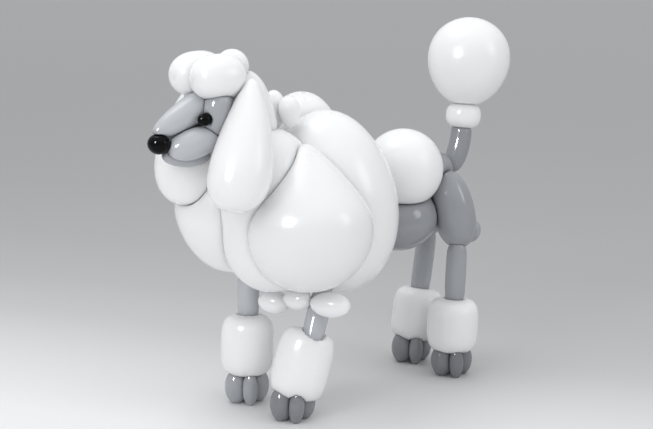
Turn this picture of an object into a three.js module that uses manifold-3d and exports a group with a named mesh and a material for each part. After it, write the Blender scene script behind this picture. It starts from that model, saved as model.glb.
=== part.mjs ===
// Balloon poodle: a standing poodle twisted from white, grey and black balloons.
// Millimetres. The poodle faces -Y, its left side is +X, and its toes stand on Z = 0.
import Module from "manifold-3d";
import * as THREE from "three";

// Driving dimensions
const TUBE = 12.2; // radius of a leg's tube, a modelling balloon fully inflated
const POMPOM = 48.8; // radius of the ball on the tail
const PUFF = 30; // radius of the white puff round a leg
const TOE = 13; // radius of a toe
const PAW = 25.5; // radius of a paw's ring of toes
const TOE_TOP = 38.5; // height of a toe
const TOE_FLAT = 1.5; // how much of a toe's round end the floor flattens
const SKIN_GAP = 0.5; // least gap left between two balloons that press on each other
const FORE_Y = -84; // where a fore paw stands along the body
const HIND_Y = 166; // where a hind paw stands along the body
const MIDDLE_Y = 19.4; // half way between the nose and the back of the tail's ball
const PAW_TURN = 67; // degrees from the front to the narrow toe, the same way on all four paws

const WHITE = { name: "white_latex", colour: 0xf4f5f6, roughness: 0.24 };
const GREY = { name: "grey_latex", colour: 0x8c9195, roughness: 0.2 };
const BLACK = { name: "black_latex", colour: 0x0c0c0d, roughness: 0.12 };

// Every balloon is listed first, and then all of them are blown up against each other.
const balloons = [];

// One balloon between two twisted ends. taper widens it towards the second end, neck narrows
// the half by the first one, square makes it more like a drum, bow bends its middle aside, and
// firm makes it press harder. The first ring of points lies cap steps from the pole.
function balloon(name, latex, from, to, radius, options = {}) {
  const a = new THREE.Vector3(...from);
  const b = new THREE.Vector3(...to);
  const bow = new THREE.Vector3(...(options.bow ?? [0, 0, 0]));
  const made = {
    name,
    latex,
    radius,
    bow,
    middle: a.clone().add(b).multiplyScalar(0.5),
    axis: b.clone().sub(a).normalize(),
    half: a.distanceTo(b) / 2,
    taper: options.taper ?? 0,
    neck: options.neck ?? 0,
    square: options.square ?? 2,
    firm: (options.firm ?? 1) / radius,
    round: options.round ?? Math.min(7, radius * 0.22),
    sides: options.sides ?? (radius > 50 ? 18 : radius > 19 ? 13 : 10),
    rings: options.rings ?? (radius > 50 ? 12 : radius > 19 ? 9 : 7),
    pole: options.pole,
    cap: options.cap ?? 1,
  };
  made.start = made.middle.clone().add(bow);
  balloons.push(made);
  return made;
}

// The same balloon on the poodle's left and right.
function pair(name, latex, from, to, radius, options = {}) {
  for (const [side, x] of [["left", 1], ["right", -1]]) {
    const bow = options.bow ?? [0, 0, 0];
    balloon(
      `${name}_${side}`,
      latex,
      [x * from[0], from[1], from[2]],
      [x * to[0], to[1], to[2]],
      radius,
      { ...options, bow: [x * bow[0], bow[1], bow[2]] },
    );
  }
}

// Head: a black nose, two black eyes and six grey bubbles
balloon("nose", BLACK, [0, -221.5, 296.7], [0, -218.2, 318.5], 12, { firm: 12 });
pair("eye", BLACK, [20, -186, 330.8], [21, -169, 330.8], 6.8, { firm: 12 });
const bridgeShape = { taper: 0.27, square: 2.5, bow: [0, 0, -1] };
balloon("muzzle_bridge", GREY, [0, -225.5, 317.5], [0, -154, 352], 14.4, bridgeShape);
balloon("jaw", GREY, [0, -216, 295], [0, -158, 290], 11.8);
pair("cheek", GREY, [5, -213, 298.5], [18, -158, 313.5], 15.8);
pair("temple", GREY, [14, -162, 307], [20, -158, 364], 16.5);

// Topknot: three white bubbles in a ring
const topknotShape = { square: 2.3 };
balloon("topknot_left", WHITE, [14, -187.5, 371], [19, -128, 373], 23.6, topknotShape);
balloon("topknot_right", WHITE, [-14, -191.5, 372.5], [-19, -128, 374.5], 23.5, topknotShape);
balloon("topknot_rear", WHITE, [-21, -125, 380], [13, -125, 380], 18);

// Ears: two white pears that hang by their narrow ends
const leftEar = { taper: 0.51, square: 2.24, bow: [0, 4, 0], firm: 1.5 };
const rightEar = { taper: 0.29, square: 2.2, bow: [0, -3, 0], firm: 1.5 };
balloon("ear_left", WHITE, [36, -129.4, 370.2], [64.5, -177.8, 242.4], 28.6, leftEar);
balloon("ear_right", WHITE, [-37, -128.2, 371.9], [-40, -166.7, 232.9], 34.7, rightEar);

// Nape and scruff: a long white bubble behind the ears, and two small ones behind the head
balloon("nape", WHITE, [0, -115, 375], [0, -88, 240], 27, { square: 2.4 });
balloon("scruff_left", WHITE, [12, -60, 311], [10, -62, 345.5], 11.5, { taper: 0.2 });
balloon("scruff_right", WHITE, [-12, -67, 307], [-10, -65, 351], 13.5);

// Mane: three white pears a side, narrow ends up
const frontLeft = { taper: -0.037, square: 2.3 };
const frontRight = { taper: -0.165, neck: 0.5, square: 2.2 };
const middlePair = { neck: 0.6, square: 2.1 };
const rearLeft = { neck: 0.17, square: 2.2 };
const rearRight = { taper: 0.12, square: 2.15 };
balloon("mane_front_left", WHITE, [9.4, -99.9, 315], [21.4, -89, 139.9], 58.3, frontLeft);
balloon("mane_front_right", WHITE, [-24, -118.2, 305.6], [-40, -98.3, 154.2], 64, frontRight);
balloon("mane_middle_left", WHITE, [50, -72.3, 299.7], [74.5, -83.9, 146.8], 71.5, middlePair);
balloon("mane_middle_right", WHITE, [-55.3, -57.8, 298.4], [-77.3, -60.5, 146.7], 66, middlePair);
balloon("mane_rear_left", WHITE, [9, -17, 327], [23, -1, 125.5], 76, rearLeft);
balloon("mane_rear_right", WHITE, [-28, -10, 344], [-44, -14, 131], 60, rearRight);

// Chest: three small white bubbles under the mane
balloon("chest_right", WHITE, [-22, -79, 119], [13, -65, 119], 12.8, { firm: 4 });
balloon("chest_middle", WHITE, [12, -70, 127.5], [45, -60, 127.5], 11.8, { firm: 4 });
balloon("chest_left", WHITE, [45, -60, 125.5], [89, -43, 127.5], 13.7, { firm: 5 });

// Rump: a white ball on the back, and the grey bubbles that carry the tail and the hind legs
const thighShape = { taper: 0.08, square: 2.2 };
balloon("rump_ball", WHITE, [0, 71, 243.2], [0, 163, 254.2], 46.5, { firm: 2 });
balloon("loin", GREY, [0, 72, 178], [0, 164, 197], 34.5);
balloon("rump", GREY, [0, 128, 241], [0, 191, 244], 24);
balloon("thigh_left", GREY, [20, 166, 244], [36, 178.5, 152], 24.6, thighShape);
balloon("thigh_right", GREY, [-20, 166, 244], [-35, 194, 156], 24.6, thighShape);
balloon("hock_left", GREY, [30, 182, 172.5], [34, 208.5, 168.5], 15);
balloon("hock_right", GREY, [-30, 196, 176], [-34, 221, 172], 15);

// Tail: a bowed grey tube, a small white collar and a white ball
const tailShape = { square: 4, bow: [0, 7, -3] };
balloon("tail_tube", GREY, [0, 191, 238], [0, 212, 302], TUBE * 1.05, tailShape);
balloon("tail_collar", WHITE, [0, 214, 286.5], [0, 216, 320.5], 21, { square: 2.45, firm: 1.5 });
balloon("tail_pompom", WHITE, [0, 214.5, 314.2], [0, 229.5, 419.2], POMPOM, { taper: 0.08 });

// Legs: each is a grey tube, a white puff and a paw of four grey toes. foot is where the leg
// meets the floor, lean is how far it leans back on a millimetre of height, the tube and the
// puff each run between two heights, aside is how far the tube's low end stands out to the left
// and the front, and back is how far the puff sits behind the tube.
const legs = [
  { name: "fore_left", foot: [40, FORE_Y], lean: 0.34, girth: PUFF + 0.8, aside: 17, back: -4 },
  { name: "fore_right", foot: [-40, FORE_Y], lean: 0.03, girth: PUFF - 0.5, aside: -10, back: 0 },
  { name: "hind_left", foot: [36, HIND_Y - 2], lean: 0.05, girth: PUFF + 0.2, aside: 0, back: -1 },
  { name: "hind_right", foot: [-36, HIND_Y], lean: 0.17, girth: PUFF, aside: 0, back: 0 },
];
const tubeHeights = [[76, 140], [84, 150], [79, 162], [72, 166]];
const puffHeights = [[21, 94.5], [31, 99], [27.8, 92.1], [25.5, 90]];
const toes = [["middle", 0, 8.7], ["inner", 80, TOE], ["rear", 180, TOE], ["outer", 280, TOE]];
for (const [i, leg] of legs.entries()) {
  const [x, y] = leg.foot;
  const at = (z, right = 0, back = 0) => [x + right, y + leg.lean * z + back, z];
  const [tubeLow, tubeHigh] = tubeHeights[i];
  const tubeEnd = at(tubeLow, 0.76 * leg.aside, -0.65 * leg.aside);
  balloon(`leg_${leg.name}`, GREY, tubeEnd, at(tubeHigh), TUBE, { square: 4, firm: 3 });
  const [puffLow, puffHigh] = puffHeights[i].map((z) => at(z, 0, leg.back));
  balloon(`puff_${leg.name}`, WHITE, puffLow, puffHigh, leg.girth, { square: 4 });
  for (const [toe, turn, radius] of toes) {
    const angle = THREE.MathUtils.degToRad(PAW_TURN + turn);
    const toeX = x + (PAW - radius) * Math.sin(angle);
    const toeY = y - (PAW - radius) * Math.cos(angle);
    const toeEnd = [toeX, toeY + 0.3 * leg.lean * TOE_TOP, TOE_TOP];
    balloon(`toe_${leg.name}_${toe}`, GREY, toeEnd, [toeX, toeY, -TOE_FLAT], radius, {
      firm: 4,
      sides: 8,
      rings: 7,
      round: 1.2,
      pole: new THREE.Vector3(0, 0, -1),
      cap: 0.7,
    });
  }
}

// How far a point lies outside a balloon's own skin, or inside it where negative.
const offset = new THREE.Vector3();
function outside(form, point) {
  offset.subVectors(point, form.middle);
  const along = offset.dot(form.axis) / form.half;
  offset.addScaledVector(form.bow, along * along - 1);
  const s = THREE.MathUtils.clamp(offset.dot(form.axis) / form.half, -1.6, 1.6);
  const across = Math.sqrt(Math.max(offset.lengthSq() - (s * form.half) ** 2, 1e-9));
  const bend = Math.sqrt(s * s + 0.04);
  const width = Math.max(1 + form.taper * s - (form.neck * (bend - s)) / 2, 0.15);
  const widening = (form.taper + (form.neck * (1 - s / bend)) / 2) / width;
  const n = form.square;
  const u = Math.abs(s) ** n;
  const v = (across / (form.radius * width)) ** n;
  const level = (u + v) ** (1 / n);
  const scale = level ** (1 - n);
  const slopeAcross = (scale * v) / across;
  const alongLevel = (u / Math.max(Math.abs(s), 1e-6)) * Math.sign(s) - v * widening;
  const slopeAlong = (scale * alongLevel) / form.half;
  return (level - 1) / Math.hypot(slopeAcross, slopeAlong);
}

// The gap between two balloons, which is wider where their facets are coarse.
const widened = new Map();
const pairOf = (a, b) => [a.name, b.name].sort().join(" ");
function gapBetween(a, b) {
  return widened.get(pairOf(a, b)) ?? SKIN_GAP;
}

// The larger of two values, with the crease between them rounded.
function roundedMax(a, b, round) {
  const h = Math.max(round - Math.abs(a - b), 0) / round;
  return Math.max(a, b) + (h * h * round) / 4;
}

// The same for a balloon among its neighbours: its skin stops half way where two press, nearer
// the softer one's middle where one is firmer, and at the floor.
function pressed(form, neighbours, point) {
  const own = outside(form, point);
  let value = own;
  for (const other of neighbours) {
    const press = (form.firm * own - other.firm * outside(other, point)) / (form.firm + other.firm);
    value = roundedMax(value, press + gapBetween(form, other) / 2, Math.min(form.round, other.round));
  }
  return Math.max(value, -point.z);
}

// How far the skin is from a start inside it, along a direction
function reach(form, neighbours, start, direction) {
  const point = new THREE.Vector3();
  let inner = 0;
  let outer = 2 * (form.half + form.radius);
  for (let step = 0; step < 40; step += 1) {
    const between = (inner + outer) / 2;
    point.copy(start).addScaledVector(direction, between);
    if (pressed(form, neighbours, point) < 0) inner = between;
    else outer = between;
  }
  return inner;
}

// The point that lies furthest inside a pressed balloon, from where all its skin is in sight
function deepest(form, neighbours, free) {
  let best = form.start;
  let depth = pressed(form, neighbours, best);
  for (const share of [0.2, 0.4, 0.6, 0.8])
    for (const skinPoint of free) {
      const point = form.start.clone().lerp(skinPoint, share);
      const value = pressed(form, neighbours, point);
      if (value < depth) [best, depth] = [point, value];
    }
  return best;
}

function blowUp(form) {
  const size = (f) => f.half + f.radius * (1 + Math.abs(f.taper));
  const neighbours = balloons.filter(
    (other) => other !== form && other.start.distanceTo(form.start) < size(other) + size(form),
  );
  const pole = form.pole ?? form.axis;
  const aside = Math.abs(pole.x) > 0.9 ? new THREE.Vector3(0, 1, 0) : new THREE.Vector3(1, 0, 0);
  const side = aside.cross(pole).normalize();
  const front = pole.clone().cross(side);
  const free = [];
  const put = (polar, turn) => {
    const direction = pole.clone().multiplyScalar(Math.cos(polar));
    direction.addScaledVector(side, Math.sin(polar) * Math.cos(turn));
    direction.addScaledVector(front, Math.sin(polar) * Math.sin(turn));
    const along = direction.dot(form.axis);
    direction.multiplyScalar(form.radius);
    direction.addScaledVector(form.axis, along * (form.half - form.radius)).normalize();
    const far = reach(form, [], form.start, direction);
    free.push(form.start.clone().addScaledVector(direction, far));
  };
  put(0, 0);
  for (let ring = 1; ring < form.rings; ring += 1)
    for (let k = 0; k < form.sides; k += 1) {
      const polar = (Math.PI * (ring > 1 ? ring : form.cap)) / form.rings;
      put(polar, (2 * Math.PI * (k + (ring % 2) / 2)) / form.sides);
    }
  put(Math.PI, 0);
  const start = deepest(form, neighbours, free);
  return free.map((skinPoint) => {
    const direction = skinPoint.clone().sub(start).normalize();
    return start.clone().addScaledVector(direction, reach(form, neighbours, start, direction));
  });
}

// Triangles between two poles and the rings of points between them
function skin(form) {
  const points = blowUp(form);
  const last = points.length - 1;
  const at = (ring, k) => 1 + (ring - 1) * form.sides + (k + form.sides) % form.sides;
  const faces = [];
  for (let k = 0; k < form.sides; k += 1) {
    faces.push(0, at(1, k), at(1, k + 1));
    faces.push(last, at(form.rings - 1, k + 1), at(form.rings - 1, k));
    for (let ring = 1; ring < form.rings - 1; ring += 1) {
      const shift = ring % 2;
      faces.push(at(ring, k), at(ring + 1, k + shift), at(ring, k + 1));
      faces.push(at(ring, k + 1), at(ring + 1, k + shift), at(ring + 1, k + 1 + shift));
    }
  }
  const geometry = new THREE.BufferGeometry().setFromPoints(points);
  geometry.setIndex(faces);
  geometry.computeVertexNormals();
  return geometry;
}

// Facets cut corners, so any two solids that still overlap are blown up again further apart.
const solids = await Module();
solids.setup();
function solid(form) {
  const { position } = form.geometry.attributes;
  const triVerts = new Uint32Array(form.geometry.index.array);
  const mesh = new solids.Mesh({ numProp: 3, vertProperties: position.array, triVerts });
  return new solids.Manifold(mesh);
}
let changed = new Set(balloons);
while (changed.size > 0) {
  for (const form of changed) {
    form.geometry = skin(form);
    form.solid = solid(form);
  }
  changed = new Set();
  for (const [i, form] of balloons.entries())
    for (const other of balloons.slice(i + 1)) {
      if (form.solid.intersect(other.solid).volume() === 0) continue;
      widened.set(pairOf(form, other), gapBetween(form, other) + 0.4);
      changed.add(form).add(other);
    }
}

const poodle = new THREE.Group();
for (const form of balloons) {
  const { colour, roughness, name } = form.latex;
  const latex = new THREE.MeshStandardMaterial({ name, color: colour, roughness, metalness: 0 });
  const mesh = new THREE.Mesh(form.geometry, latex);
  mesh.name = form.name;
  mesh.position.y = -MIDDLE_Y;
  poodle.add(mesh);
}
poodle.name = "balloon_poodle";

export default poodle;
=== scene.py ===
import math

import bpy
import numpy as np
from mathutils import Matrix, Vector


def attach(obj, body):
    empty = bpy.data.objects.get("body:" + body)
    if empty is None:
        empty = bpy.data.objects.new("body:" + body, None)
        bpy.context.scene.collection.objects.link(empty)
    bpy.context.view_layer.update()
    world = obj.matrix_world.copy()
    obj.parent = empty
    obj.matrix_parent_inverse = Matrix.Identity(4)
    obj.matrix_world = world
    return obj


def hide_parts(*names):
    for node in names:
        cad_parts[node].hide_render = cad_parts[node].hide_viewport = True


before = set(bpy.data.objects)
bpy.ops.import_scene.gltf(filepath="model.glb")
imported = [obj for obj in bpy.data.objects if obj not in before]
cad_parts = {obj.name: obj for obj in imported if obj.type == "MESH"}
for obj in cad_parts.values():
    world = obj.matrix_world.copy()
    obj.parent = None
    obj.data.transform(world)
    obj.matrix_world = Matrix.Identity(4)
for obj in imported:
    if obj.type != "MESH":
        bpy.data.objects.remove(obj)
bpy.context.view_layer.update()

# Nose and eyes
# Three bubbles of black latex, each twisted off the end of a modelling balloon and blown tight.
# The nose sits across the tips of the muzzle's bubbles, and the eyes are pushed in between them.
# Every balloon of the poodle is made in the same way, so how it is blown up is set out here.

middle_y = 0.0194  # half way between the nose and the back of the tail's ball
skin_gap = 0.0004  # between two skins that press on each other
crease_share = 0.10  # a crease is rounded over this share of the smaller balloon's radius
largest_crease = 0.003
tied = []
latexes = {}  # the materials, by the name of their slot


def outside(form, points):
    """How far points lie outside a balloon's own free skin, or inside it where negative."""
    off = points - form["middle"]
    along = off @ form["axis"] / form["half"]
    off = off + np.outer(along**2 - 1, form["bow"])
    s = np.clip(off @ form["axis"] / form["half"], -1.6, 1.6)
    across = np.sqrt(np.maximum((off**2).sum(axis=1) - (s * form["half"]) ** 2, 1e-12))
    bend = np.sqrt(s**2 + 0.04)
    width = np.maximum(1 + form["taper"] * s - form["neck"] * (bend - s) / 2, 0.15)
    widening = (form["taper"] + form["neck"] * (1 - s / bend) / 2) / width
    n = form["square"]
    u = np.abs(s) ** n
    v = (across / (form["radius"] * width)) ** n
    level = np.maximum(u + v, 1e-9) ** (1 / n)
    scale = level ** (1 - n)
    slope_across = scale * v / across
    slope_along = u / np.maximum(np.abs(s), 1e-6) * np.sign(s) - v * widening
    slope_along = scale * slope_along / form["half"]
    return (level - 1) / np.hypot(slope_across, slope_along)


def pressed(form, neighbours, points):
    """The same for a balloon among others: its skin stops half way to an equally firm one."""
    own = outside(form, points)
    value = own
    for other in neighbours:
        firm = form["firm"] + other["firm"]
        press = (form["firm"] * own - other["firm"] * outside(other, points)) / firm
        press = press + skin_gap / 2
        crease = min(form["crease"], other["crease"])
        h = np.maximum(crease - np.abs(value - press), 0) / crease
        value = np.maximum(value, press) + h * h * crease / 4
    return np.maximum(value, -points[:, 2])  # the floor is under it


def reach(form, neighbours, start, ways):
    """How far the skin is from a start inside it, along each way."""
    inner = np.zeros(len(ways))
    outer = np.full(len(ways), 2 * (form["half"] + form["radius"]))
    for _ in range(13):
        half_way = (inner + outer) / 2
        within = pressed(form, neighbours, start + ways * half_way[:, None]) < 0
        inner = np.where(within, half_way, inner)
        outer = np.where(within, outer, half_way)
    low = pressed(form, neighbours, start + ways * inner[:, None])
    high = pressed(form, neighbours, start + ways * outer[:, None])
    return inner + (outer - inner) * np.clip(low / np.minimum(low - high, -1e-9), 0, 1)


def deepest(form, neighbours, free):
    """The point that lies furthest inside a pressed balloon, from where all its skin is in sight."""
    points = np.concatenate([form["start"] + (free[::41] - form["start"]) * k for k in (0, 0.2, 0.4, 0.6, 0.8)])
    best = points[pressed(form, neighbours, points).argmin()]
    for step in (0.2, 0.1, 0.05):
        points = best + (free[::41] - form["start"]) * step
        depths = pressed(form, neighbours, points)
        if depths.min() < pressed(form, neighbours, best[None])[0]:
            best = points[depths.argmin()]
    return best


def blow_up(form):
    """The points of a balloon's skin, pressed by every balloon tied on so far."""
    free = form["start"] + form["ways"] * reach(form, [], form["start"], form["ways"])[:, None]
    touching = [
        other
        for other in tied
        if other is not form
        and (outside(other, free[::5]).min() < 0.01 or outside(form, other["start"][None])[0] < 0)
    ]
    start = deepest(form, touching, free)
    ways = free - start
    ways = ways / np.linalg.norm(ways, axis=1)[:, None]
    out = reach(form, touching, start, ways)
    out = out * (1 - form["pleat_depth"] * form["pleats"])
    return start + ways * out[:, None]


def latex(name, colour, thick_and_shaded_colour, roughness, gloss, see_through, cloudiness):
    """Latex of one colour, duller and darker near the twisted ends, where it is least stretched; the same darker
    colour also carries each balloon's painted shade.
    """
    made = bpy.data.materials.new(f"{name}_blown")
    made.use_nodes = True
    tree = made.node_tree
    link = tree.links.new
    shader = tree.nodes["Principled BSDF"]
    shader.inputs["IOR"].default_value = 1.52
    shader.inputs["Specular IOR Level"].default_value = gloss
    shader.inputs["Subsurface Weight"].default_value = see_through
    shader.inputs["Subsurface Radius"].default_value = (0.016, 0.0155, 0.015)
    shader.inputs["Subsurface Scale"].default_value = 1.0

    thick = tree.nodes.new("ShaderNodeAttribute")
    thick.attribute_name = "thick"
    dark = tree.nodes.new("ShaderNodeAttribute")
    dark.attribute_name = "dark"
    lay = tree.nodes.new("ShaderNodeAttribute")
    lay.attribute_name = "lay"
    place = tree.nodes.new("ShaderNodeTexCoord")

    clouds = tree.nodes.new("ShaderNodeTexNoise")
    clouds.inputs["Scale"].default_value = 22
    clouds.inputs["Detail"].default_value = 3
    link(place.outputs["Object"], clouds.inputs["Vector"])
    density = tree.nodes.new("ShaderNodeMapRange")
    density.inputs["From Min"].default_value = 0.35
    density.inputs["From Max"].default_value = 0.75
    density.inputs["To Max"].default_value = cloudiness
    link(clouds.outputs["Fac"], density.inputs["Value"])
    # The tint towards the darker colour follows the dark attribute (thick latex at the twisted ends plus painted
    # shade over the whole balloon), with random clouds added.
    ends_and_painted_shade = tree.nodes.new("ShaderNodeMath")
    ends_and_painted_shade.operation = "MULTIPLY_ADD"
    ends_and_painted_shade.inputs[1].default_value = 0.85
    link(dark.outputs["Fac"], ends_and_painted_shade.inputs[0])
    link(density.outputs["Result"], ends_and_painted_shade.inputs[2])
    tint = tree.nodes.new("ShaderNodeMix")
    tint.data_type = "RGBA"
    tint.inputs["A"].default_value = (*colour, 1)
    tint.inputs["B"].default_value = (*thick_and_shaded_colour, 1)
    link(ends_and_painted_shade.outputs["Value"], tint.inputs["Factor"])
    link(tint.outputs["Result"], shader.inputs["Base Color"])

    powder = tree.nodes.new("ShaderNodeTexNoise")
    powder.inputs["Scale"].default_value = 160
    powder.inputs["Detail"].default_value = 6
    link(place.outputs["Object"], powder.inputs["Vector"])
    dull = tree.nodes.new("ShaderNodeMapRange")
    dull.inputs["From Min"].default_value = 0.35
    dull.inputs["From Max"].default_value = 0.75
    dull.inputs["To Min"].default_value = roughness * 0.85
    dull.inputs["To Max"].default_value = roughness * 1.35
    link(powder.outputs["Fac"], dull.inputs["Value"])
    duller = tree.nodes.new("ShaderNodeMath")
    duller.operation = "MULTIPLY_ADD"
    duller.inputs[1].default_value = 0.15
    link(thick.outputs["Fac"], duller.inputs[0])
    link(dull.outputs["Result"], duller.inputs[2])
    link(duller.outputs["Value"], shader.inputs["Roughness"])

    folds = tree.nodes.new("ShaderNodeTexNoise")
    folds.inputs["Scale"].default_value = 7
    folds.inputs["Detail"].default_value = 4
    link(lay.outputs["Vector"], folds.inputs["Vector"])
    at_ends = tree.nodes.new("ShaderNodeMath")
    at_ends.operation = "MULTIPLY"
    link(folds.outputs["Fac"], at_ends.inputs[0])
    link(thick.outputs["Fac"], at_ends.inputs[1])
    folded = tree.nodes.new("ShaderNodeBump")
    folded.inputs["Strength"].default_value = 0.5
    folded.inputs["Distance"].default_value = 0.0012
    link(at_ends.outputs["Value"], folded.inputs["Height"])
    grain = tree.nodes.new("ShaderNodeTexNoise")
    grain.inputs["Scale"].default_value = 900
    grain.inputs["Detail"].default_value = 2
    link(place.outputs["Object"], grain.inputs["Vector"])
    grained = tree.nodes.new("ShaderNodeBump")
    grained.inputs["Strength"].default_value = 0.05
    grained.inputs["Distance"].default_value = 0.00002
    link(grain.outputs["Fac"], grained.inputs["Height"])
    link(folded.outputs["Normal"], grained.inputs["Normal"])
    link(grained.outputs["Normal"], shader.inputs["Normal"])
    latexes[name] = made


def tie_on(name, colour, start, end, radius, taper=0, neck=0, square=2, bow=(0, 0, 0), firm=1,
           crease=None, painted_shade=0, pleat_depth=0.006):
    """Blows up one balloon between two twisted ends and puts it in the place of its node."""
    start = np.array(start) - (0, middle_y, 0)
    end = np.array(end) - (0, middle_y, 0)
    half = np.linalg.norm(end - start) / 2
    axis = (end - start) / (2 * half)
    form = {
        "middle": (start + end) / 2,
        "axis": axis,
        "half": half,
        "radius": radius,
        "taper": taper,
        "neck": neck,
        "square": square,
        "bow": np.array(bow),
        "firm": firm / radius,
        "crease": crease or min(largest_crease, radius * crease_share),
        "pleat_depth": pleat_depth,
    }
    form["start"] = form["middle"] + form["bow"]

    sides, rings = (200, 150) if radius > 0.05 else (112, 84) if radius > 0.019 else (64, 48)
    polar = np.repeat(np.arange(1, rings) * math.pi / rings, sides)
    turn = np.tile(np.arange(sides) * 2 * math.pi / sides, rings - 1)
    polar = np.concatenate(([0], polar, [math.pi]))
    turn = np.concatenate(([0], turn, [0]))
    aside = np.array((0.0, 1.0, 0.0) if abs(axis[0]) > 0.9 else (1.0, 0.0, 0.0))
    side = np.cross(aside, axis)
    side = side / np.linalg.norm(side)
    front = np.cross(axis, side)
    around = np.outer(np.cos(turn), side) + np.outer(np.sin(turn), front)
    ways = np.outer(np.cos(polar) * half, axis) + around * (np.sin(polar) * radius)[:, None]
    form["ways"] = ways / np.linalg.norm(ways, axis=1)[:, None]
    near_end = np.minimum(polar, math.pi - polar)
    thick = np.exp(-((near_end / 0.3) ** 2))
    form["pleats"] = (0.5 - 0.5 * np.cos(13 * turn + 2 * np.sin(3 * turn))) * thick**3
    tied.append(form)

    at = 1 + np.arange((rings - 1) * sides).reshape(rings - 1, sides)
    after = np.roll(at, -1, axis=1)
    last = (rings - 1) * sides + 1
    quads = np.stack((at[:-1], at[1:], after[1:], after[:-1]), axis=-1).reshape(-1, 4)
    faces = quads.tolist()
    faces += [(0, a, b) for a, b in zip(at[0].tolist(), after[0].tolist())]
    faces += [(last, b, a) for a, b in zip(at[-1].tolist(), after[-1].tolist())]
    mesh = bpy.data.meshes.new(name)
    mesh.from_pydata(blow_up(form).tolist(), [], faces)
    mesh.shade_smooth()
    mesh.materials.append(latexes[colour])
    mesh.attributes.new("thick", "FLOAT", "POINT").data.foreach_set("value", thick)
    # Darker towards the twisted ends, and darkened all over by this balloon's painted shade, which stands in for
    # the shade that falls on it.
    dark = painted_shade + (1 - painted_shade) * thick
    mesh.attributes.new("dark", "FLOAT", "POINT").data.foreach_set("value", dark)
    lay = np.stack((np.cos(turn), np.sin(turn), 0.25 * np.cos(polar)), axis=-1)
    mesh.attributes.new("lay", "FLOAT_VECTOR", "POINT").data.foreach_set("vector", lay.ravel())

    piece = bpy.data.objects.new(f"{name}_skin", mesh)
    bpy.context.scene.collection.objects.link(piece)
    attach(piece, "root")
    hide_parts(name)
    form["mesh"] = mesh
    return piece


latex("black_latex", (0.002, 0.002, 0.002), (0.001, 0.001, 0.001), 0.02, 0.10, 0, 0)
tie_on("nose", "black_latex", (0, -0.2215, 0.2967), (0, -0.2182, 0.3185), 0.0120, firm=12)
for side, x in (("left", 1), ("right", -1)):
    front = (x * 0.0200, -0.1860, 0.3308)
    back = (x * 0.0210, -0.1690, 0.3308)
    tie_on(f"eye_{side}", "black_latex", front, back, 0.0068, firm=12)

# Muzzle and temples
# Six bubbles of grey latex: a long bridge from the nose up to the forehead, two cheeks, a jaw
# under them and two upright temples. They are twisted together behind the nose and at the neck.

# The second colour is that of thick grey latex at the twisted ends, and also the painted shade that darkens the
# jaw, temples, hind quarters, legs and toes.
latex("grey_latex", (0.49, 0.505, 0.53), (0.13, 0.134, 0.147), 0.12, 0.5, 0.15, 0.06)
bridge_tip = (0, -0.2255, 0.3175)
forehead = (0, -0.154, 0.352)
tie_on("muzzle_bridge", "grey_latex", bridge_tip, forehead, 0.0144, taper=0.27, square=2.5,
       bow=(0, 0, -0.001))
# The jaw carries painted shade, for the shade it lies in under the muzzle.
tie_on("jaw", "grey_latex", (0, -0.216, 0.295), (0, -0.158, 0.290), 0.0118, painted_shade=0.3)
for side, x in (("left", 1), ("right", -1)):
    tie_on(f"cheek_{side}", "grey_latex", (x * 0.005, -0.213, 0.2985), (x * 0.018, -0.158, 0.3135), 0.0158,
           crease=0.001)
    # The temples carry painted shade, for the shade under the topknot.
    tie_on(f"temple_{side}", "grey_latex", (x * 0.014, -0.162, 0.307), (x * 0.020, -0.158, 0.364), 0.0165,
           painted_shade=0.3)

# Topknot
# Three bubbles of white latex in a ring on top of the head: a fat one on each side, running from
# the forehead to the back of the head, and a small one across the back.

# The second colour is that of thick white latex at the twisted ends, and also the painted shade of the middle pears
# and the hind puffs.
latex("white_latex", (0.84, 0.84, 0.845), (0.78, 0.78, 0.785), 0.2, 0.45, 0.8, 0.06)
for side, x, lift, radius in (("left", 1, 0.0025, 0.0236), ("right", -1, 0.004, 0.0235)):
    brow = (x * 0.014, -0.1895 + 0.002 * x, 0.3685 + lift)
    crown = (x * 0.019, -0.128, 0.3705 + lift)
    tie_on(f"topknot_{side}", "white_latex", brow, crown, radius, square=2.3)
tie_on("topknot_rear", "white_latex", (-0.021, -0.125, 0.380), (0.013, -0.125, 0.380), 0.018)

# Ears
# Two pear-shaped balloons of white latex that hang from their narrow ends, tied in under the
# topknot. Their fat lower ends swing a little forward, and the right one hangs a little lower.

tie_on("ear_left", "white_latex", (0.036, -0.1294, 0.3702), (0.0645, -0.1778, 0.2424), 0.0286,
       taper=0.51, square=2.24, bow=(0, 0.004, 0), firm=1.5)
tie_on("ear_right", "white_latex", (-0.037, -0.1282, 0.3719), (-0.040, -0.1667, 0.2329), 0.0347,
       taper=0.29, square=2.2, bow=(0, -0.003, 0), firm=1.5)

# Nape and scruff
# A long bubble of white latex behind the ears covers the back of the head and the neck. Two small
# bubbles stand up behind it, in the gap that the mane leaves on top.

tie_on("nape", "white_latex", (0, -0.115, 0.375), (0, -0.088, 0.240), 0.027, square=2.4)
tie_on("scruff_left", "white_latex", (0.012, -0.060, 0.311), (0.010, -0.062, 0.3455), 0.0115, taper=0.2)
tie_on("scruff_right", "white_latex", (-0.012, -0.067, 0.307), (-0.010, -0.065, 0.351), 0.0135)

# Mane
# Six large pears of white latex, three a side, that hang from their twisted narrow ends at the
# neck and cover the chest like a ball of wool. The middle pair is tied on last, over the others.

tie_on("mane_front_left", "white_latex", (0.0094, -0.0999, 0.3150), (0.0214, -0.0890, 0.1399), 0.0583,
       taper=-0.037, square=2.3)
tie_on("mane_front_right", "white_latex", (-0.024, -0.1182, 0.3056), (-0.040, -0.0983, 0.1542), 0.064,
       taper=-0.165, neck=0.5, square=2.2)
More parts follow.
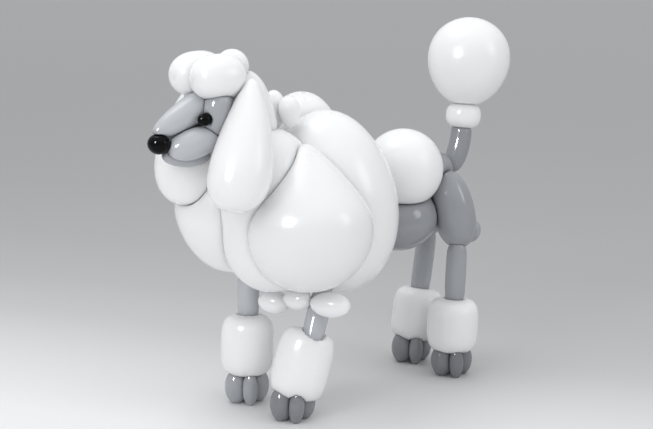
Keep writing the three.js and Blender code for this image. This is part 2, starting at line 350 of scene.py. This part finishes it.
# The middle pair carries painted shade, which darkens them a little towards the second white.
middle = {"neck": 0.6, "square": 2.1, "painted_shade": 0.6}
tie_on("mane_middle_left", "white_latex", (0.0500, -0.0723, 0.2997), (0.0745, -0.0839, 0.1468), 0.0715, **middle)
tie_on("mane_middle_right", "white_latex", (-0.0553, -0.0578, 0.2984), (-0.0773, -0.0605, 0.1467), 0.0660, **middle)
tie_on("mane_rear_left", "white_latex", (0.009, -0.017, 0.3270), (0.023, -0.001, 0.1255), 0.076,
       neck=0.17, square=2.2)
tie_on("mane_rear_right", "white_latex", (-0.028, -0.010, 0.344), (-0.044, -0.014, 0.131), 0.060,
       taper=0.12, square=2.15)

# Chest
# Three small bubbles of white latex in a row under the mane, in front of the tops of the fore legs.

tie_on("chest_right", "white_latex", (-0.022, -0.079, 0.1190), (0.013, -0.065, 0.1190), 0.0128, firm=4)
tie_on("chest_middle", "white_latex", (0.012, -0.070, 0.1275), (0.045, -0.060, 0.1275), 0.0118, firm=4)
tie_on("chest_left", "white_latex", (0.0450, -0.0600, 0.1255), (0.0890, -0.0430, 0.1275), 0.0137, firm=5)

# Rump
# A ball of white latex sits on the back behind the mane. Under it a fat bubble of grey latex, the
# loin, joins the mane to the hind legs, and a smaller one carries the tail.

tie_on("rump_ball", "white_latex", (0, 0.0710, 0.2432), (0, 0.1630, 0.2542), 0.0465, firm=2)
# The loin and the rump carry painted shade, for the shade under the ball and behind the mane.
tie_on("loin", "grey_latex", (0, 0.072, 0.178), (0, 0.164, 0.197), 0.0345, painted_shade=0.65)
tie_on("rump", "grey_latex", (0, 0.128, 0.241), (0, 0.191, 0.244), 0.024, painted_shade=0.65)

# Thighs and hocks
# Each thigh is a long bubble of grey latex that runs down and back from the rump, and each hock a
# small round one twisted off behind it, over the top of the hind leg.

hip_height = 0.244
# The thighs and the hocks carry painted shade, for the shade over the hind quarters.
tie_on("thigh_left", "grey_latex", (0.020, 0.166, hip_height), (0.036, 0.1785, 0.152), 0.0246, taper=0.08, square=2.2, painted_shade=0.6)
tie_on("thigh_right", "grey_latex", (-0.020, 0.166, hip_height), (-0.035, 0.194, 0.156), 0.0246, taper=0.08, square=2.2, painted_shade=0.6)
tie_on("hock_left", "grey_latex", (0.030, 0.182, 0.1725), (0.034, 0.2085, 0.1685), 0.015, painted_shade=0.5)
tie_on("hock_right", "grey_latex", (-0.030, 0.196, 0.176), (-0.034, 0.221, 0.172), 0.015, painted_shade=0.5)

# Tail
# A short length of grey balloon bends back and up from the rump. A bubble of white latex is
# twisted round its top as a collar, and a white ball, blown nearly round, is tied on above.

tube = 0.0122  # radius of a modelling balloon, fully blown up
tail_bow = (0, 0.007, -0.003)
# The tail's grey tube carries painted shade.
tie_on("tail_tube", "grey_latex", (0, 0.191, 0.238), (0, 0.212, 0.302), 1.05 * tube, square=4, bow=tail_bow,
       painted_shade=0.65)
tie_on("tail_collar", "white_latex", (0, 0.214, 0.2865), (0, 0.216, 0.3205), 0.021, square=2.45, firm=1.5)
tie_on("tail_pompom", "white_latex", (0, 0.2145, 0.3142), (0, 0.2295, 0.4192), 0.0488, taper=0.08)

# Legs
# Each leg is a length of grey balloon that comes down from the body into a puff, a fat drum of
# white latex tied round it. Under the puff four bubbles of grey latex, one of them narrow, are
# twisted into a ring, stand on the floor and make the paw.

toe = 0.013
paw = 0.0255  # radius of the ring of toes
toe_top = 0.0385
toe_flat = 0.0015  # how much of a toe's round end the floor flattens
paw_turn = 67  # degrees from the front to the narrow toe, the same way on all four paws
toes = (("middle", 0, 0.0087), ("inner", 80, toe), ("rear", 180, toe), ("outer", 280, toe))
# The last entry of each leg gives the painted shade of its tube, puff and toes: the hind legs, puffs and toes stand
# in the body's shade and are painted darkest, and the fore left toes are darker than the fore right.
legs = (
    {"name": "fore_left", "x": 0.040, "y": -0.084, "lean": 0.34, "tube": (0.076, 0.140),
     "puff": (0.021, 0.0945), "back": -0.0040, "girth": 0.0308, "aside": 0.017,
     "painted_shade": (0, 0, 0.85)},
    {"name": "fore_right", "x": -0.040, "y": -0.084, "lean": 0.03, "tube": (0.084, 0.150),
     "puff": (0.031, 0.099), "back": 0, "girth": 0.0295, "aside": -0.010,
     "painted_shade": (0, 0, 0.45)},
    {"name": "hind_left", "x": 0.036, "y": 0.164, "lean": 0.05, "tube": (0.079, 0.162),
     "puff": (0.0278, 0.0921), "back": -0.0010, "girth": 0.0302, "aside": 0,
     "painted_shade": (0.5, 0.8, 0.95)},
    {"name": "hind_right", "x": -0.036, "y": 0.166, "lean": 0.17, "tube": (0.072, 0.166),
     "puff": (0.0255, 0.090), "back": 0, "girth": 0.030, "aside": 0,
     "painted_shade": (0.4, 0.8, 0.8)},
)
for leg in legs:
    name = leg["name"]
    x, y, lean = leg["x"], leg["y"], leg["lean"]
    low, high = [(x, y + lean * z, z) for z in leg["tube"]]
    low = (low[0] + 0.76 * leg["aside"], low[1] - 0.65 * leg["aside"], low[2])
    tube_painted_shade, puff_painted_shade, toe_painted_shade = leg["painted_shade"]
    tie_on(f"leg_{name}", "grey_latex", low, high, tube, square=4, firm=3, painted_shade=tube_painted_shade)
    low, high = [(x, y + lean * z + leg["back"], z) for z in leg["puff"]]
    tie_on(f"puff_{name}", "white_latex", low, high, leg["girth"], square=4, painted_shade=puff_painted_shade)
    for toe_name, turn, radius in toes:
        angle = math.radians(paw_turn + turn)
        toe_x = x + (paw - radius) * math.sin(angle)
        toe_y = y - (paw - radius) * math.cos(angle)
        top = (toe_x, toe_y + 0.3 * lean * toe_top, toe_top)
        tie_on(f"toe_{name}_{toe_name}", "grey_latex", top, (toe_x, toe_y, -toe_flat), radius,
               firm=4, painted_shade=toe_painted_shade, crease=0.0012)

# Giving way
# With everything tied on, each balloon gives way to those that came after it, the softer one more.
# Nothing is glued: the twists and this pressure alone hold the poodle together.

for form in tied:
    form["mesh"].vertices.foreach_set("co", blow_up(form).ravel())
    form["mesh"].update()

# Floor
# A wide sheet of pale matt paper whose colour carries painted light falloff:
# painted white where it comes forward under the poodle and painted grey behind it.

paper = bpy.data.materials.new("paper")
paper.use_nodes = True
tree = paper.node_tree
place = tree.nodes.new("ShaderNodeTexCoord")
back = tree.nodes.new("ShaderNodeSeparateXYZ")
tree.links.new(place.outputs["Object"], back.inputs["Vector"])
# Painted shade: the ramp darkens the paper from front to back, standing in for the light falling off behind the
# poodle.
painted_falloff = tree.nodes.new("ShaderNodeValToRGB")
shades = ((-0.2, 0.76), (0.0, 0.63), (0.2, 0.49), (0.4, 0.42), (0.7, 0.385), (1.2, 0.375), (6.0, 0.385))
nearest, farthest = shades[0][0], shades[-1][0]
while len(painted_falloff.color_ramp.elements) < len(shades):
    painted_falloff.color_ramp.elements.new(1)
for stop, (behind, shade) in zip(painted_falloff.color_ramp.elements, shades):
    stop.position = (behind - nearest) / (farthest - nearest)
    stop.color = (shade, shade, shade * 1.01, 1)
behind = tree.nodes.new("ShaderNodeMapRange")
behind.inputs["From Min"].default_value = nearest
behind.inputs["From Max"].default_value = farthest
slant = tree.nodes.new("ShaderNodeMath")  # it shades sooner on the right
slant.operation = "MULTIPLY_ADD"
slant.inputs[1].default_value = 0.4
tree.links.new(back.outputs["X"], slant.inputs[0])
tree.links.new(back.outputs["Y"], slant.inputs[2])
tree.links.new(slant.outputs["Value"], behind.inputs["Value"])
tree.links.new(behind.outputs["Result"], painted_falloff.inputs["Fac"])
fibre = tree.nodes.new("ShaderNodeTexNoise")
fibre.inputs["Scale"].default_value = 300
tree.links.new(place.outputs["Object"], fibre.inputs["Vector"])
tooth = tree.nodes.new("ShaderNodeBump")
tooth.inputs["Strength"].default_value = 0.1
tooth.inputs["Distance"].default_value = 0.0002
tree.links.new(fibre.outputs["Fac"], tooth.inputs["Height"])
shader = tree.nodes["Principled BSDF"]
shader.inputs["Roughness"].default_value = 0.7
tree.links.new(painted_falloff.outputs["Color"], shader.inputs["Base Color"])
tree.links.new(tooth.outputs["Normal"], shader.inputs["Normal"])
floor_mesh = bpy.data.meshes.new("floor")
floor_radius = 40
rim = [2 * math.pi * k / 96 for k in range(96)]
floor_mesh.from_pydata([(floor_radius * math.cos(a), floor_radius * math.sin(a), 0) for a in rim], [],
                       [list(range(96))])
floor_mesh.materials.append(paper)
floor = bpy.data.objects.new("floor", floor_mesh)
# Turned round to the camera, so that the painted shade runs away from it.
floor.rotation_euler.z = math.radians(49.8)
bpy.context.scene.collection.objects.link(floor)

# Camera and lights
# The camera stands in front of the poodle's left side, a little above its back. A large soft box
# hangs overhead, a tall one stands at the front left, and a weaker one fills in from the right.

look_at = Vector((0, -middle_y, 0.2085))
distance_to_camera = 1.562
azimuth = math.radians(49.8)
elevation = math.radians(10.8)
towards = Vector((math.sin(azimuth) * math.cos(elevation), -math.cos(azimuth) * math.cos(elevation),
                  math.sin(elevation)))
camera = bpy.data.objects.new("camera", bpy.data.cameras.new("camera"))
camera.data.sensor_width = 36
camera.data.lens = 77.2
camera.location = look_at + distance_to_camera * towards
camera.rotation_euler = (-towards).to_track_quat("-Z", "Y").to_euler()
bpy.context.scene.collection.objects.link(camera)
bpy.context.scene.camera = camera


def soft_box(name, way, distance, width, height, watts):
    """A rectangular lamp that faces the poodle from the way given."""
    lamp = bpy.data.lights.new(name, "AREA")
    lamp.shape = "RECTANGLE"
    lamp.size = width
    lamp.size_y = height
    lamp.energy = watts
    box = bpy.data.objects.new(name, lamp)
    way = Vector(way).normalized()
    box.location = look_at + distance * way
    box.rotation_euler = (-way).to_track_quat("-Z", "Y").to_euler()
    bpy.context.scene.collection.objects.link(box)
    return box


soft_box("overhead", (-0.27, -0.15, 0.95), 1.6, 0.8, 0.8, 5.6)
soft_box("front_left", (0.23, -0.86, 0.46), 1.5, 0.40, 0.62, 2.7).visible_glossy = False
soft_box("front_left_glint", (0.23, -0.86, 0.46), 1.45, 0.24, 0.38, 28).visible_diffuse = False
soft_box("right", (0.77, 0.47, 0.42), 1.9, 0.5, 0.8, 3.8)
soft_box("low_front", (0.70, -0.71, 0.05), 1.9, 1.8, 0.5, 2.2).visible_glossy = False

# The room is dark but for its white ceiling.
world = bpy.data.worlds.new("studio")
world.use_nodes = True
tree = world.node_tree
way = tree.nodes.new("ShaderNodeTexCoord")
up = tree.nodes.new("ShaderNodeSeparateXYZ")
tree.links.new(way.outputs["Generated"], up.inputs["Vector"])
ceiling = tree.nodes.new("ShaderNodeMapRange")
ceiling.interpolation_type = "SMOOTHSTEP"
ceiling.inputs["From Min"].default_value = 0
ceiling.inputs["From Max"].default_value = 0.9
ceiling.inputs["To Min"].default_value = 0.5
ceiling.inputs["To Max"].default_value = 1.05
tree.links.new(up.outputs["Z"], ceiling.inputs["Value"])
tree.links.new(ceiling.outputs["Result"], tree.nodes["Background"].inputs["Strength"])
tree.nodes["Background"].inputs["Color"].default_value = (0.97, 0.985, 1, 1)
bpy.context.scene.world = world
bpy.context.scene.view_settings.view_transform = "Standard"
